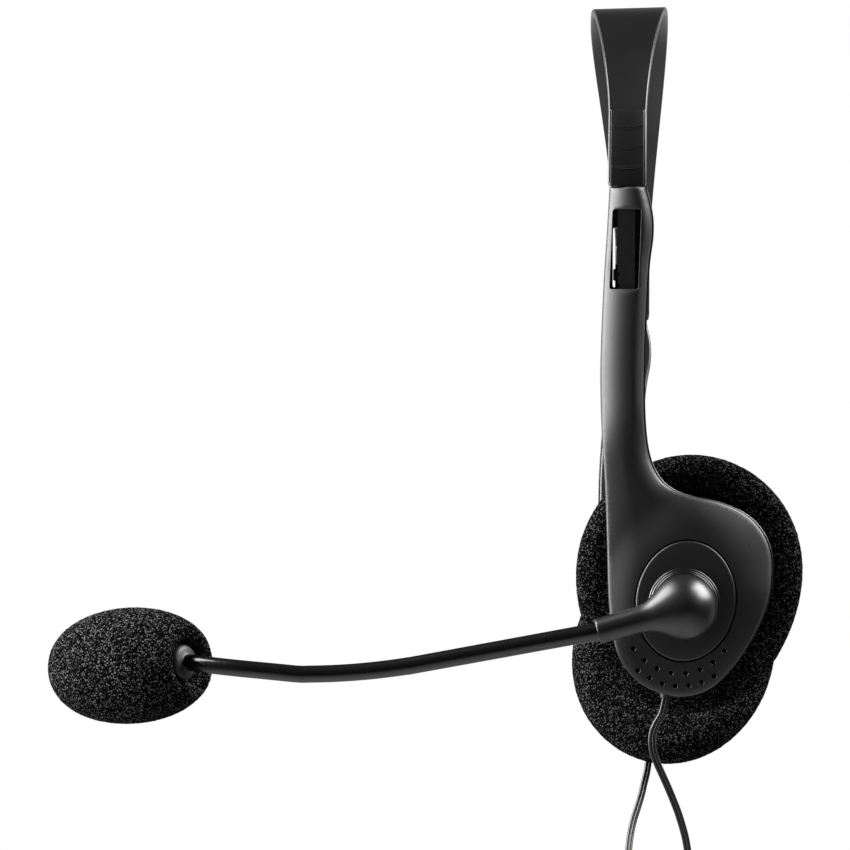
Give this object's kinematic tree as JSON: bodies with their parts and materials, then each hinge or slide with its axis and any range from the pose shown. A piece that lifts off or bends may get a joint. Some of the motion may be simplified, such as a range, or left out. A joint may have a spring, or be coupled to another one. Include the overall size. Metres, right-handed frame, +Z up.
{
  "type": "office headset",
  "caption": "Stereo headset with a sprung band, sliding oval ear cups with foam pads, and a swinging boom microphone with a foam windscreen.",
  "frame": {"origin": "middle of the band's underside at the crown, where a head holds the headset up", "axes": "+Z up, the wearer faces -X, the cup with the boom microphone is on -Y"},
  "size_m": [0.1717, 0.1537, 0.3859],
  "materials": {
    "band_plastic": "satin moulded black plastic",
    "shell_plastic": "fine-grained satin black plastic",
    "inner_plastic": "matte black plastic",
    "tongue_plastic": "smooth black plastic",
    "boom_plastic": "satin-gloss black plastic",
    "tube_vinyl": "glossy black vinyl sleeve",
    "foam": "open-cell black foam",
    "cord_vinyl": "soft satin black vinyl",
    "screw_steel": "zinc-plated steel",
    "driver_metal": "pressed steel",
    "film": "clear mylar film",
    "capsule_metal": "drawn aluminium can",
    "contact_nickel": "nickel-plated brass"
  },
  "bodies": {
    "band": {"headband": "band_plastic", "left_band_end": "band_plastic", "right_band_end": "band_plastic", "left_tongue": "tongue_plastic", "right_tongue": "tongue_plastic", "cord_splitter": "cord_vinyl", "main_cord": "cord_vinyl", "cord_hank": "cord_vinyl", "cord_tail": "cord_vinyl", "cord_tie": "cord_vinyl", "plug_body": "cord_vinyl", "plug_pin": "contact_nickel"},
    "left_cup": {"left_outer_shell": "shell_plastic", "left_inner_shell": "inner_plastic", "left_detent_spring": "tongue_plastic", "left_boom_plate": "shell_plastic", "left_speaker_baffle": "inner_plastic", "left_speaker_driver": "driver_metal", "left_diaphragm": "film", "left_ear_foam": "foam", "left_cord_relief": "cord_vinyl", "left_shell_screws": "screw_steel", "left_cord": "cord_vinyl", "boom_base_ring": "shell_plastic", "boom_washer": "screw_steel"},
    "right_cup": {"right_outer_shell": "shell_plastic", "right_inner_shell": "inner_plastic", "right_detent_spring": "tongue_plastic", "right_oval_plate": "shell_plastic", "right_speaker_baffle": "inner_plastic", "right_speaker_driver": "driver_metal", "right_diaphragm": "film", "right_ear_foam": "foam", "right_cord_relief": "cord_vinyl", "right_shell_screws": "screw_steel", "right_cord": "cord_vinyl"},
    "boom": {"boom_hub": "boom_plastic", "boom_screw": "screw_steel", "boom_tube_rear": "tube_vinyl"},
    "mic": {"boom_tube_front": "tube_vinyl", "mic_housing": "boom_plastic", "mic_capsule": "capsule_metal", "mic_foam": "foam"}
  },
  "joints": [
    {"name": "left_slide", "type": "slide", "parent": "band", "child": "left_cup", "axis": [0, 0.1874, -0.9823], "range_m": [0, 0.025], "deforming": ["left_cord"]},
    {"name": "right_slide", "type": "slide", "parent": "band", "child": "right_cup", "axis": [-0.0314, -0.1873, -0.9818], "range_m": [-0.0015, 0.0235], "deforming": ["right_cord"]},
    {"name": "boom_pivot", "type": "hinge", "parent": "left_cup", "child": "boom", "pos_m": [0.0134, -0.06028, -0.14996], "axis": [0, 0.9823, 0.1874], "range_deg": [-50, 75]},
    {"name": "boom_bend", "type": "hinge", "parent": "boom", "child": "mic", "pos_m": [-0.073, -0.06216, -0.16681], "axis": [0, -0.1874, 0.9823], "range_deg": [-30, 35]}
  ]
}
